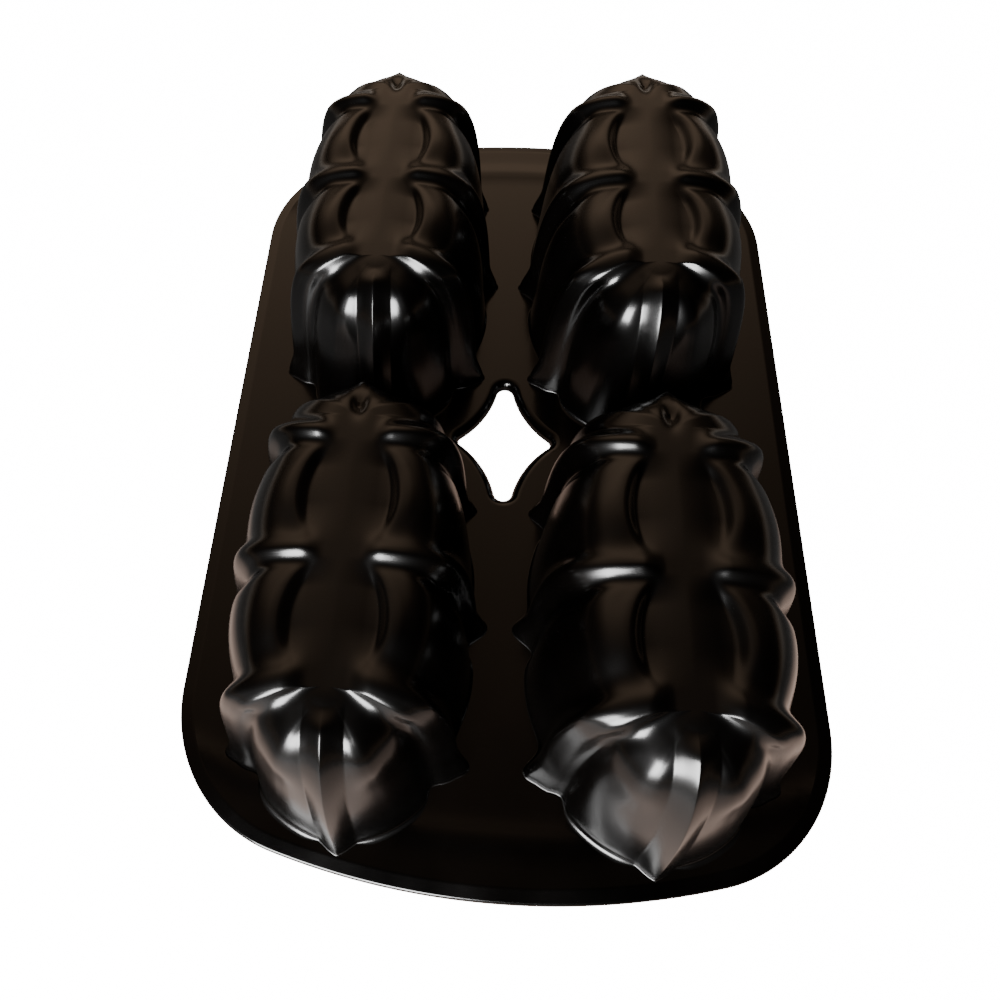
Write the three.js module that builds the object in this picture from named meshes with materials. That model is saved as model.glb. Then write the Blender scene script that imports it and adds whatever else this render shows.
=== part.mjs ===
// Mini loaf pan with four leaf-form cavities, lying upside down on its rim as it is stored.
// Millimetres. +X right, +Y to the rear, +Z up. The origin is on the table under the middle of the pan.
import * as THREE from "three";
import { mergeVertices } from "three/addons/utils/BufferGeometryUtils.js";

// Driving dimensions of the cavities
const CUP_LENGTH = 144.5;
const CUP_WIDTH = 87;
const CUP_DEPTH = 59.5;
const CUP_DRAFT = 0.125;
const BUD_DRAFT = 0.2;
const WALL = 3;

// Driving dimensions of the deck, its rim and its vent
const WEB_ACROSS = 9;
const WEB_ALONG = 4.8;
const SIDE_WEB = 10.1;
const END_WEB = 1;
const ROW_SHIFT = 2.7;
const CORNER_RADIUS = 50.5;
const END_RADIUS = 260;
const RIM_DROP = 3;
const RIM_FILLET = 0.8;
const VENT_WIDTH = 35;
const VENT_LENGTH = 49.6;
const VENT_SIDE_RADIUS = 37;
const VENT_SIDE_TIP = 2;
const VENT_END_TIP = 3.3;
const VENT_DROP = 1.2;
const VENT_FILLET = 0.6;
const SEAT_GAP = 0.3;

// Driving dimensions of the leaf relief on a cavity
const CAP_BEAD_RISE = 3.7;
const MIDDLE_BEAD_RISE = 3.6;
const BUD_BEAD_RISE = 5.6;
const BEAD_REACH = 3.6;
const BEAD_END = 12;
const SPUR_RISE = 2.6;
const NOTCH_DEPTH = 1.8;
const FLANK_ARCH = 3;
const LOBE_RISE = 2.7;
const LENS_HALF_WIDTH = 12;
const LENS_SINK = 1.9;
const LEAF_EDGE_RISE = 0.5;
const CAP_STEP = 2.3;
const NUB_RISE = 3.8;
const NUB_RADIUS = 3.5;
const DIMPLE_DEPTH = 2.4;
const KEEL_RISE = 2.4;
const KEEL_HALF_WIDTH = 5;
const KEEL_ROUND = 0.7;
const PETAL_RISE = 2.6;
const BUD_DROP = 0.6;

// Places along a cavity, from its middle: the spine's ends, the beads, the nub and its dimple.
// On the crown a bead's front narrows by its taper and its height falls by its thinning, both shares of one.
const HALF = CUP_LENGTH / 2;
const SPINE_FRONT = -0.488 * HALF;
const SPINE_REAR = 0.682 * HALF;
const CAP_BEAD = { place: 0.594 * HALF, lean: 0.042 * HALF, rise: CAP_BEAD_RISE, taper: 0.35, thinning: 0.45 };
const MIDDLE_BEAD = { place: 0.056 * HALF, lean: -0.03 * HALF, rise: MIDDLE_BEAD_RISE, taper: 0.35, thinning: 0.45 };
const BUD_BEAD = { place: -0.444 * HALF, lean: -0.155 * HALF, rise: BUD_BEAD_RISE, taper: -0.5, thinning: 0.6 };
const BEADS = [CAP_BEAD, MIDDLE_BEAD, BUD_BEAD];
const TIERS = [[CAP_BEAD, MIDDLE_BEAD], [MIDDLE_BEAD, BUD_BEAD]];
const NUB_PLACE = 0.868 * HALF;
const DIMPLE_PLACE = 0.758 * HALF;

// Half-widths at the deck without relief, and the reach of the bud's round front before its tip
const FLOOR_WIDTH = CUP_WIDTH / 2 - MIDDLE_BEAD_RISE - SPUR_RISE;
const CAP_TAPER = 0.15 * FLOOR_WIDTH;
const BUD_TAPER = 0.19 * FLOOR_WIDTH;
const BUD_REACH = 0.457 * HALF;
const TIP_REACH = HALF + SPINE_FRONT - BUD_REACH - KEEL_RISE;

// Share of the walk round one side, from the tip to the rear end, at which the fans of rays begin and end
const FRONT_SHARE = 0.3;
const REAR_SHARE = 0.82;
const QUARTER = Math.PI / 2;

// Sizes of the whole pan: the cavities, the webs between them and the rolled edge outside
const DECK_TOP = WALL + RIM_DROP;
const RIM_WIDTH = WALL + RIM_FILLET;
const VENT_ROLL = WALL + VENT_FILLET;
const EDGE = RIM_WIDTH + 2 * SEAT_GAP;
const PITCH_ACROSS = CUP_WIDTH + WEB_ACROSS;
const PITCH_ALONG = CUP_LENGTH + WEB_ALONG;
const END_BOW = END_RADIUS - Math.sqrt(END_RADIUS ** 2 - (PITCH_ACROSS / 2) ** 2);
const PAN_WIDTH = PITCH_ACROSS + CUP_WIDTH + 2 * (SIDE_WEB + EDGE);
const PAN_LENGTH = PITCH_ALONG + CUP_LENGTH + 2 * (ROW_SHIFT + END_WEB + EDGE + END_BOW);

// Small maths helpers
const { smoothstep, clamp, lerp, degToRad, radToDeg } = THREE.MathUtils;
const bell = (distance, reach) => Math.exp(-((distance / reach) ** 2));
const fade = (value, from, to) => 1 - smoothstep(value, from, to);

// How far the section through a place on the spine leans by the time it reaches the deck:
// the parabola through the leans of the three beads.
function leanAt(place) {
  let lean = 0;
  for (const bead of BEADS) {
    let weight = bead.lean;
    for (const other of BEADS) {
      if (other !== bead) weight *= (place - other.place) / (bead.place - other.place);
    }
    lean += weight;
  }
  return lean;
}

// Half-width of the smooth form at the deck, narrower towards the cap and the bud.
function floorWidth(place) {
  const cap = CAP_TAPER * smoothstep(place, 0, 0.7 * HALF);
  const bud = BUD_TAPER * fade(place, -0.55 * HALF, -0.05 * HALF);
  return FLOOR_WIDTH - cap - bud;
}

// One ray of the form, from the spine to the deck. The share runs from 0 at the bud's tip, round one side,
// to 1 at the rear end. At both ends the rays fan out from the end of the spine. The marker goes on counting
// along the leaf inside the fans.
function rayAt(share) {
  const along = clamp((share - FRONT_SHARE) / (REAR_SHARE - FRONT_SHARE), 0, 1);
  const place = lerp(SPINE_FRONT, SPINE_REAR, along);
  const lean = leanAt(place);
  const ray = { place, marker: place, bend: 2, front: 0, rear: 0, petal: 0, angle: 0 };
  ray.rootX = floorWidth(place);
  ray.rootY = place + lean;
  if (share < FRONT_SHARE) {
    const turn = share / FRONT_SHARE;
    const sideReach = Math.hypot(ray.rootX, lean);
    const angle = turn * Math.atan2(ray.rootX, -lean);
    const tip = TIP_REACH * Math.exp(-angle / degToRad(8));
    const reach = lerp(BUD_REACH, sideReach, turn ** 1.6) + tip;
    ray.rootX = reach * Math.sin(angle);
    ray.rootY = place - reach * Math.cos(angle);
    ray.marker = place - 0.43 * HALF * (1 - turn);
    ray.bend = 1 + smoothstep(turn, 0.5, 1);
    ray.front = fade(turn, 0.45, 1);
    ray.petal = fade(turn, 0.7, 0.95);
    ray.angle = radToDeg(angle);
  }
  if (share > REAR_SHARE) {
    const turn = (share - REAR_SHARE) / (1 - REAR_SHARE);
    const roundness = 0.62;
    const start = ray.rootY;
    ray.rootX *= Math.max(Math.cos(turn * QUARTER), 0) ** roundness;
    ray.rootY = lerp(start, HALF, Math.sin(turn * QUARTER) ** roundness);
    ray.marker = place + 0.5 * HALF * turn;
    ray.bend = 1 + fade(turn, 0, 0.33);
    ray.rear = smoothstep(turn, 0, 0.67);
  }
  return ray;
}

// Smooth form without relief: a round-shouldered, drafted section along the ray, from the deck (rise 0) to the
// spine (rise of a quarter turn). Measured from the middle of the cavity, with the deck at zero height.
function smoothPoint(ray, rise) {
  const power = 4.2 - 0.9 * ray.front - 1.4 * ray.rear;
  const cosine = Math.max(Math.cos(rise), 0);
  const sine = Math.sin(rise);
  const size = (cosine ** power + sine ** power) ** (-1 / power);
  const draft = CUP_DRAFT + BUD_DRAFT * ray.front;
  const up = size * sine;
  const outward = Math.max(size * cosine * (1 - draft) + draft * (1 - up), 0);
  const arch = FLANK_ARCH * (ray.bend - 1) * Math.sin(Math.PI * Math.min(up, 1) ** 1.3);
  const y = ray.place + (ray.rootY - ray.place) * outward ** ray.bend + arch;
  return new THREE.Vector3(ray.rootX * outward, y, CUP_DEPTH * up);
}

// Three rolled beads cross each flank, with a hollow before each on the flank. They grow thinner towards the crown,
// stop short of the spine, and end in pointed spurs on the deck.
function beadRelief(ray, x, up) {
  const crown = smoothstep(up, 0.84, 1);
  let relief = 0;
  for (const bead of BEADS) {
    const behind = ray.marker - bead.place;
    const frontReach = BEAD_REACH * (1 - bead.taper * crown);
    const rearReach = BEAD_REACH * (1 + 0.2 * crown);
    const crest = bead.rise * (1 - bead.thinning * crown) + SPUR_RISE * fade(up, 0, 0.2);
    const hollow = NOTCH_DEPTH * (1 - 0.85 * crown);
    const notch = hollow * bell(behind + 1.8 * frontReach, 0.8 * frontReach);
    relief += crest * bell(behind, behind > 0 ? rearReach : frontReach) - notch;
  }
  return relief * smoothstep(x, 0.4 * BEAD_END, BEAD_END);
}

// Between two beads the flank swells to a lobe. A lens-shaped middle leaf lies on the spine: it slopes from the
// spine to its sunken edges like a tent, and the lobes rise again beyond them.
function tierRelief(ray, x) {
  let relief = 0;
  for (const [behind, before] of TIERS) {
    const down = clamp((behind.place - ray.marker) / (behind.place - before.place), 0, 1);
    const swell = Math.max(Math.sin(Math.PI * down ** 1.15), 0) ** 1.3;
    const edge = LENS_HALF_WIDTH * (0.36 + 0.64 * Math.sin(0.86 * Math.PI * down ** 0.9));
    const shown = smoothstep(down, 0.05, 0.3) * fade(down, 0.6, 0.95);
    const tent = Math.min(x / edge, 1) ** 1.5 * fade(x, edge, edge + 3.5);
    const leafEdge = LEAF_EDGE_RISE * bell(x - edge - 4.4, 2.6);
    relief += LOBE_RISE * swell * smoothstep(x, 8, 22) + shown * (leafEdge - LENS_SINK * tent);
  }
  return relief;
}

// Behind the first bead the cap stands in a little. It carries a pointed nub with a dimple before it.
function capRelief(ray, point) {
  const nub = Math.hypot(point.x, point.y - NUB_PLACE) / NUB_RADIUS;
  const dimple = Math.hypot(point.x, 0.5 * (point.y - DIMPLE_PLACE)) / (0.68 * NUB_RADIUS);
  const behind = ray.marker - CAP_BEAD.place;
  const step = CAP_STEP * smoothstep(behind, 1, 7) * smoothstep(point.x, 4, 20);
  return NUB_RISE * Math.exp(-(nub ** 1.4)) - DIMPLE_DEPTH * bell(dimple, 1) - step;
}

// The bud: a top that is a little sunken, two domed petals, and a keel between them that runs down to the tip.
function budRelief(ray, point, up) {
  const out = Math.hypot(point.x, point.y - SPINE_FRONT);
  const aside = Math.hypot(point.x, KEEL_ROUND) - KEEL_ROUND;
  const keel = KEEL_RISE * Math.max(1 - aside / KEEL_HALF_WIDTH, 0) * smoothstep(out, 5, 12);
  const dome = PETAL_RISE * bell(ray.angle - 33, 17) * bell(up - 0.83, 0.16) * smoothstep(out, 8, 16);
  const sunk = BUD_DROP * smoothstep(out, 0.5, 10) * fade(out, 12, 25);
  return ray.petal * (keel + dome - sunk);
}

// Direction square to the smooth form. It is upright on the spine and stays in the plane of symmetry there.
function outwardAt(share, rise, x) {
  const step = 1e-3;
  const lower = Math.max(rise - step, 0);
  const upper = Math.min(rise + step, QUARTER);
  const before = rayAt(Math.max(share - step, 0));
  const after = rayAt(Math.min(share + step, 1));
  const ray = rayAt(share);
  const round = smoothPoint(after, rise).sub(smoothPoint(before, rise));
  const outward = round.cross(smoothPoint(ray, upper).sub(smoothPoint(ray, lower)));
  if (outward.length() < 1e-9) outward.set(0, 0, 1);
  outward.normalize();
  outward.lerp(new THREE.Vector3(0, 0, 1), fade(QUARTER - rise, 0, 0.06));
  outward.x *= smoothstep(x, 0, 3);
  return outward.normalize();
}

// Point of the finished cavity, a given depth below its outer skin.
function cupPoint(share, rise, depth) {
  const ray = rayAt(share);
  const point = smoothPoint(ray, rise);
  const up = point.z / CUP_DEPTH;
  const leaf = beadRelief(ray, point.x, up) + tierRelief(ray, point.x);
  const relief = leaf + capRelief(ray, point) + budRelief(ray, point, up);
  point.addScaledVector(outwardAt(share, rise, point.x), relief - depth);
  point.x = Math.max(point.x, 0);
  if (rise === 0) point.z = 0;
  return point;
}

// Rays lie closer together where the beads cross, levels where the section turns and where the leaves are.
function rayShares() {
  const shareAt = (place) => lerp(FRONT_SHARE, REAR_SHARE, (place - SPINE_FRONT) / (SPINE_REAR - SPINE_FRONT));
  const flank = (bead, side) => shareAt(bead.place + side * 0.83 * BEAD_REACH);
  const tier = ([behind, before], down) => shareAt(lerp(behind.place, before.place, down));
  const [rearTier, frontTier] = TIERS;
  return [
    ...[0, 0.1, 0.24, 0.4, 0.57, 0.74, 0.88, 1].map((turn) => turn * FRONT_SHARE),
    ...[0, 1, 2].map((side) => flank(BUD_BEAD, side)),
    ...[0.62, 0.4].map((down) => tier(frontTier, down)),
    ...[-2, -1, 0, 1, 2].map((side) => flank(MIDDLE_BEAD, side)),
    ...[0.62, 0.4].map((down) => tier(rearTier, down)),
    ...[-2, -1, 0, 1].map((side) => flank(CAP_BEAD, side)),
    ...[0, 0.18, 0.36, 0.54, 0.72, 0.87, 1].map((turn) => lerp(REAR_SHARE, 1, turn)),
  ];
}
const SHARES = rayShares();
const RISES = [0, 9, 19, 31, 42, 50, 60, 70, 77, 84, 90].map((degrees) => (degrees / 90) * QUARTER);

// Closed loop round the cavity at one level: up the right side and back down the left.
function cupLoop(rise, depth) {
  const right = SHARES.map((share) => cupPoint(share, rise, depth));
  const left = right.slice(1, -1).reverse().map((p) => new THREE.Vector3(-p.x, p.y, p.z));
  return [...right, ...left];
}

// Welds corners that meet, drops triangles that fell flat, and turns the faces out.
function weld(soup) {
  soup.deleteAttribute("normal");
  soup.deleteAttribute("uv");
  const welded = mergeVertices(soup, 1e-4);
  const place = welded.getAttribute("position");
  const corners = welded.getIndex().array;
  const corner = (i) => new THREE.Vector3().fromBufferAttribute(place, i);
  const kept = [];
  let volume = 0;
  for (let i = 0; i < corners.length; i += 3) {
    const [a, b, c] = corners.slice(i, i + 3);
    if (a === b || b === c || c === a) continue;
    kept.push(a, b, c);
    volume += corner(a).dot(corner(b).cross(corner(c)));
  }
  welded.setIndex(volume < 0 ? kept.reverse() : kept);
  welded.computeVertexNormals();
  return welded;
}

// Joins a row of loops of equal length into one closed body. A ring's last loop joins its first.
function skin(loops, ring) {
  const count = loops[0].length;
  const rows = ring ? loops.length : loops.length - 1;
  const points = [];
  for (let i = 0; i < rows; i += 1) {
    const a = loops[i];
    const b = loops[(i + 1) % loops.length];
    for (let j = 0; j < count; j += 1) {
      const k = (j + 1) % count;
      points.push(a[j], a[k], b[k], a[j], b[k], b[j]);
    }
  }
  return weld(new THREE.BufferGeometry().setFromPoints(points));
}

// Arc as points, from one angle to another in degrees, without its last point.
function arc(centreX, centreY, radius, from, to, steps) {
  return Array.from({ length: steps }, (_, i) => {
    const angle = degToRad(lerp(from, to, i / steps));
    return new THREE.Vector2(centreX + radius * Math.cos(angle), centreY + radius * Math.sin(angle));
  });
}

// Rear half of an outline from its right side to its left, and the front half as the same turned round.
function turnedRound(rear) {
  return [...rear, ...rear.map((p) => new THREE.Vector2(-p.x, -p.y))];
}

// Outline of the pan, drawn in from its outer edge: straight sides, bowed ends, round corners, all tangent.
function panOutline(inset) {
  const cornerX = PAN_WIDTH / 2 - CORNER_RADIUS;
  const endY = PAN_LENGTH / 2 - END_RADIUS;
  const cornerY = endY + Math.sqrt((END_RADIUS - CORNER_RADIUS) ** 2 - cornerX ** 2);
  const split = radToDeg(Math.atan2(cornerY - endY, cornerX));
  return turnedRound([
    ...arc(cornerX, cornerY, CORNER_RADIUS - inset, 0, split, 9),
    ...arc(0, endY, END_RADIUS - inset, split, 180 - split, 10),
    ...arc(-cornerX, cornerY, CORNER_RADIUS - inset, 180 - split, 180, 9),
    new THREE.Vector2(inset - PAN_WIDTH / 2, cornerY),
  ]);
}

// Outline of the vent, drawn out from its edge: four tips joined by hollow sides, all arcs and all tangent.
// A hollow's centre is found from its distances to the centres of the two tips that it joins.
function ventOutline(outset) {
  const tipX = VENT_WIDTH / 2 - VENT_SIDE_TIP;
  const tipY = VENT_LENGTH / 2 - VENT_END_TIP;
  const toSide = VENT_SIDE_RADIUS + VENT_SIDE_TIP;
  const toEnd = VENT_SIDE_RADIUS + VENT_END_TIP;
  const apart = Math.hypot(tipX, tipY);
  const along = (toSide ** 2 - toEnd ** 2 + apart ** 2) / (2 * apart);
  const off = Math.sqrt(toSide ** 2 - along ** 2);
  const hollowX = tipX + (off * tipY - along * tipX) / apart;
  const hollowY = (along * tipY + off * tipX) / apart;
  const sideTurn = radToDeg(Math.atan2(hollowY, hollowX - tipX));
  const endTurn = radToDeg(Math.atan2(hollowY - tipY, hollowX));
  const quarter = [
    ...arc(tipX, 0, VENT_SIDE_TIP + outset, 0, sideTurn, 3),
    ...arc(hollowX, hollowY, VENT_SIDE_RADIUS - outset, 180 + sideTurn, 180 + endTurn, 6),
    ...arc(0, tipY, VENT_END_TIP + outset, endTurn, 90, 3),
  ];
  const mirrored = quarter.slice(1).reverse().map((p) => new THREE.Vector2(-p.x, p.y));
  return turnedRound([...quarter, new THREE.Vector2(0, VENT_LENGTH / 2 + outset), ...mirrored]);
}

// Section of a turned-down edge, as distance from the outer face and height: a round shoulder, a leg with a flat
// foot, and a fillet under the deck.
function rolledSection(width, foot) {
  const fillet = width - WALL;
  const turns = [0, 30, 60, 90].map(degToRad);
  const shoulder = turns.map((a) => [width * (1 - Math.sin(a)), DECK_TOP - width * (1 - Math.cos(a))]);
  const under = turns.map((a) => [width - fillet * Math.sin(a), RIM_DROP - fillet * (1 - Math.cos(a))]);
  return [...shoulder, [0, foot], [WALL, foot], ...under.reverse()];
}

// Ring with such a section swept round an outline.
function sweptRing(outline, section) {
  const loops = section.map(([distance, z]) => outline(distance).map((p) => new THREE.Vector3(p.x, p.y, z)));
  return skin(loops, true);
}

// The cavities stand two by two, a little nearer the front edge than the rear one.
const PLACES = [];
for (const [row, rowSign] of [["front", -0.5], ["rear", 0.5]]) {
  for (const [column, columnSign] of [["left", -0.5], ["right", 0.5]]) {
    const centre = new THREE.Vector2(columnSign * PITCH_ACROSS, rowSign * PITCH_ALONG - ROW_SHIFT);
    PLACES.push({ name: `cavity_${row}_${column}`, centre });
  }
}

// Cavity: the outer skin down to its foot in the deck, then the inner skin back up, one wall inside.
function cavity(centre) {
  const outer = RISES.map((rise) => cupLoop(rise, 0)).reverse();
  const inner = RISES.map((rise) => cupLoop(rise, WALL));
  const foot = (loop) => loop.map((p) => new THREE.Vector3(p.x, p.y, -WALL));
  const loops = [...outer, foot(outer.at(-1)), foot(inner[0]), ...inner];
  return skin(loops, false).translate(centre.x, centre.y, DECK_TOP);
}

// Aperture of the deck round one cavity: the cavity's foot, opened by the seating gap.
function aperture(centre) {
  const foot = cupLoop(0, 0);
  return foot.map((p, i) => {
    const before = foot.at(i - 1);
    const after = foot[(i + 1) % foot.length];
    const outward = new THREE.Vector2(after.y - before.y, before.x - after.x).setLength(SEAT_GAP);
    return new THREE.Vector2(p.x, p.y).add(outward).add(centre);
  });
}

// Deck: the flat web inside the rim, pierced by the cavities and the vent collar.
function deckPlate() {
  const plate = new THREE.Shape(panOutline(RIM_WIDTH + SEAT_GAP));
  plate.holes = PLACES.map(({ centre }) => new THREE.Path(aperture(centre)));
  plate.holes.push(new THREE.Path(ventOutline(VENT_ROLL + SEAT_GAP)));
  const solid = new THREE.ExtrudeGeometry(plate, { depth: WALL, bevelEnabled: false });
  return weld(solid.translate(0, 0, RIM_DROP));
}

// Every piece wears the same dark, glossy non-stick coat.
function piece(name, geometry) {
  const coat = new THREE.MeshStandardMaterial({ color: 0x17110e, roughness: 0.3, metalness: 0.1 });
  const mesh = new THREE.Mesh(geometry, coat);
  mesh.name = name;
  return mesh;
}

const pan = new THREE.Group();
pan.name = "mini_loaf_pan";
pan.add(piece("deck_plate", deckPlate()));
pan.add(piece("rim", sweptRing(panOutline, rolledSection(RIM_WIDTH, 0))));
pan.add(piece("vent_collar", sweptRing(ventOutline, rolledSection(VENT_ROLL, RIM_DROP - VENT_DROP))));
for (const { name, centre } of PLACES) pan.add(piece(name, cavity(centre)));

export default pan;
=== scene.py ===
# %% [markdown]
# # A mini loaf pan with leaf-form cavities
# The pan lies upside down on its rim. Its CAD solids are the frame. This script dresses them: each
# cavity, the deck, the rim and the vent collar are drawn again as fine surfaces in the same places, and get
# the dark, glossy coat of the photograph.

# %% Load the frame
import bpy
import numpy as np
from mathutils import Matrix, Vector
from mathutils.geometry import delaunay_2d_cdt


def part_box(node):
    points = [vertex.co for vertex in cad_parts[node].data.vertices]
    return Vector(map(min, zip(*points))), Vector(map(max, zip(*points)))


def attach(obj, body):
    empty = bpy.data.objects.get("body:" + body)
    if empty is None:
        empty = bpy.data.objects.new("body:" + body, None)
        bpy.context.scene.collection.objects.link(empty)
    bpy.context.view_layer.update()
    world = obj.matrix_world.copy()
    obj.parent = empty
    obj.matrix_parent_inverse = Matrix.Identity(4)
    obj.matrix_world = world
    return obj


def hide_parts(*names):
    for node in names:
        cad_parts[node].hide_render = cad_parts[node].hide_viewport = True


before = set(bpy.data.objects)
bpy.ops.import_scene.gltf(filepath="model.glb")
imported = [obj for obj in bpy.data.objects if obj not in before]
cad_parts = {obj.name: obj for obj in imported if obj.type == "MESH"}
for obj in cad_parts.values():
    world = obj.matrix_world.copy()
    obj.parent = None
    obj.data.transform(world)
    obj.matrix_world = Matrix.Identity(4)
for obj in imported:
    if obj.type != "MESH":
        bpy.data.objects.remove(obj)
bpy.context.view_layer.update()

MM = 0.001
deck_low, deck_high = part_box("deck_plate")
rim_low, rim_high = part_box("rim")
vent_low, vent_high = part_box("vent_collar")
WALL = (deck_high[2] - deck_low[2]) / MM
DECK_TOP = deck_high[2] / MM
PAN_WIDTH = (rim_high[0] - rim_low[0]) / MM
PAN_LENGTH = (rim_high[1] - rim_low[1]) / MM
CAVITIES = [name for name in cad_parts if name.startswith("cavity")]
print(f"pan {PAN_WIDTH:.1f} x {PAN_LENGTH:.1f} mm, deck {WALL:.1f} mm thick at {DECK_TOP:.1f} mm")

# %% [markdown]
# ## Maths that the shapes share
# Soft steps, fades and bells are the only building blocks of the relief. They are smooth, so the surface made
# of them has no accidental creases, and every feature can be moved by changing one number.

# %% Small maths helpers
QUARTER = np.pi / 2


def smooth(value, start, end):
    """Cubic step from 0 at start to 1 at end, level at both."""
    t = np.clip((value - start) / (end - start), 0, 1)
    return t * t * (3 - 2 * t)


def fade(value, start, end):
    """The same step turned round: 1 at start and 0 at end."""
    return 1 - smooth(value, start, end)


def bell(distance, reach):
    """Bell curve, 1 in the middle and about a third at the reach."""
    return np.exp(-((distance / reach) ** 2))


# %% [markdown]
# ## From grids to meshes
# A surface is a stack of closed loops with the same number of points. Neighbouring loops are joined by quads.
# Where points of a loop meet, as along the spine of a leaf, they are welded, and quads that lost a side
# become triangles.

# %% Mesh from points and faces
CREASE = np.radians(40)


def volume_of(points, faces):
    """Signed volume inside the faces, a sum of tetrahedra from the origin: negative when they face in."""
    total = 0.0
    for group in faces:
        for k in range(1, group.shape[1] - 1):
            a, b, c = (points[group[:, i]] for i in (0, k, k + 1))
            total += np.einsum("ij,ij->", a, np.cross(b, c)) / 6
    return total


def build_object(name, points, faces):
    """Object at the origin from points in millimetres, faces out, with edges over the crease kept sharp."""
    if volume_of(points, faces) < 0:
        faces = [group[:, ::-1] for group in faces]
    mesh = bpy.data.meshes.new(name)
    mesh.from_pydata((points * MM).tolist(), [], [face for group in faces for face in group.tolist()])
    mesh.polygons.foreach_set("use_smooth", np.ones(len(mesh.polygons), bool))
    mesh.set_sharp_from_angle(angle=CREASE)
    mesh.update()
    piece = bpy.data.objects.new(name, mesh)
    bpy.context.scene.collection.objects.link(piece)
    return piece


# %% Closed body from loops
WELD_PER_MM = 1e5


def weld(points, quads):
    """Merges points that meet and drops the sides of quads that fell together."""
    keys = np.round(points * WELD_PER_MM).astype(np.int64)
    _, first, inverse = np.unique(keys, axis=0, return_index=True, return_inverse=True)
    quads = inverse.reshape(-1)[quads]
    same = quads == np.roll(quads, -1, axis=1)
    lost = same.sum(1)
    triangles = quads[lost == 1][~same[lost == 1]].reshape(-1, 3)
    return points[first], [quads[lost == 0], triangles]


def skin(name, loops, ring):
    """Closed body from a stack of loops, shape (rows, count, 3). In a ring the last loop joins the first."""
    rows, count = loops.shape[:2]
    ids = np.arange(rows * count).reshape(rows, count)
    below = ids if ring else ids[:-1]
    above = np.roll(ids, -1, axis=0) if ring else ids[1:]
    quads = np.stack([below, np.roll(below, -1, axis=1), np.roll(above, -1, axis=1), above], axis=-1)
    return build_object(name, *weld(loops.reshape(-1, 3), quads.reshape(-1, 4)))


# %% [markdown]
# ## The leaf form of a cavity
# A cavity is a husk of overlapping leaves. Its smooth body is a family of sections that stand along a spine:
# each section is a superellipse, which has nearly upright sides and a round shoulder, and leans a little so
# that the beads bend forward on their way down. At the two ends the sections fan out, to a round cap at the
# rear and to a bud with a pointed tip at the front.

# %% Proportions of the smooth body
CUP_LENGTH, CUP_WIDTH, CUP_DEPTH = 144.5, 87.0, 59.5
HALF = CUP_LENGTH / 2
SPINE_FRONT, SPINE_REAR = -0.488 * HALF, 0.682 * HALF
BEAD_PLACES = np.array([0.594, 0.056, -0.444]) * HALF
BEAD_LEANS = np.array([0.042, -0.03, -0.155]) * HALF
BEAD_RISES, SPUR_RISE, KEEL_RISE = np.array([3.7, 3.6, 5.6]), 2.6, 2.4
FLOOR_WIDTH = CUP_WIDTH / 2 - BEAD_RISES[1] - SPUR_RISE
CAP_TAPER, CAP_TAPER_END = 0.15 * FLOOR_WIDTH, 0.7 * HALF
BUD_TAPER, BUD_TAPER_FULL, BUD_TAPER_START = 0.19 * FLOOR_WIDTH, -0.55 * HALF, -0.05 * HALF
BUD_REACH, BUD_SWING, TIP_ANGLE, CAP_ROUND = 0.457 * HALF, 1.6, np.radians(8), 0.62
TIP_REACH = HALF + SPINE_FRONT - BUD_REACH - KEEL_RISE
print(f"cavity {CUP_LENGTH} x {CUP_WIDTH} x {CUP_DEPTH} mm, {FLOOR_WIDTH:.1f} mm to each side at the deck")

# %% Rays from the spine to the deck
FRONT_SHARE, REAR_SHARE = 0.3, 0.82
MARKER_FRONT, MARKER_REAR = 0.43 * HALF, 0.5 * HALF
BUD_BEND, BUD_ZONE, PETAL_ZONE = (0.5, 1), (0.45, 1), (0.7, 0.95)
CAP_BEND, CAP_ZONE = (0, 0.33), (0, 0.67)


def floor_width(place):
    """Half-width at the deck: full in the middle, narrower towards the cap and the bud."""
    cap = CAP_TAPER * smooth(place, 0, CAP_TAPER_END)
    bud = BUD_TAPER * fade(place, BUD_TAPER_FULL, BUD_TAPER_START)
    return FLOOR_WIDTH - cap - bud


def ray_at(share):
    """One ray from the spine to the deck, by its share: 0 at the tip, round one side, and 1 at the rear.

    Along the side its foot follows the taper. Round the bud the rays fan out, longer near the tip by an
    exponential. Round the cap the feet follow powers of a cosine and a sine.
    """
    lean_curve = np.polyfit(BEAD_PLACES, BEAD_LEANS, 2)
    place = np.interp(share, [FRONT_SHARE, REAR_SHARE], [SPINE_FRONT, SPINE_REAR])
    lean = np.polyval(lean_curve, place)
    side_x, side_y = floor_width(place), place + lean
    turn = np.clip(share / FRONT_SHARE, 0, 1)
    angle = turn * np.arctan2(side_x, -lean)
    bud = BUD_REACH + (np.hypot(side_x, lean) - BUD_REACH) * turn**BUD_SWING
    reach = bud + TIP_REACH * np.exp(-angle / TIP_ANGLE)
    back = np.clip((share - REAR_SHARE) / (1 - REAR_SHARE), 0, 1)
    in_bud, in_cap = share < FRONT_SHARE, share > REAR_SHARE
    round_x = np.maximum(np.cos(back * QUARTER), 0) ** CAP_ROUND
    round_y = np.sin(back * QUARTER) ** CAP_ROUND
    return {
        "place": place,
        "root_x": np.where(in_bud, reach * np.sin(angle), side_x * round_x),
        "root_y": np.where(in_bud, place - reach * np.cos(angle), side_y + (HALF - side_y) * round_y),
        "marker": place - MARKER_FRONT * (1 - turn) + MARKER_REAR * back,
        "bend": np.where(in_cap, 1 + fade(back, *CAP_BEND), 1 + smooth(turn, *BUD_BEND)),
        "front": fade(turn, *BUD_ZONE),
        "rear": smooth(back, *CAP_ZONE),
        "petal": fade(turn, *PETAL_ZONE),
        "angle": np.degrees(angle),
    }


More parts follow.
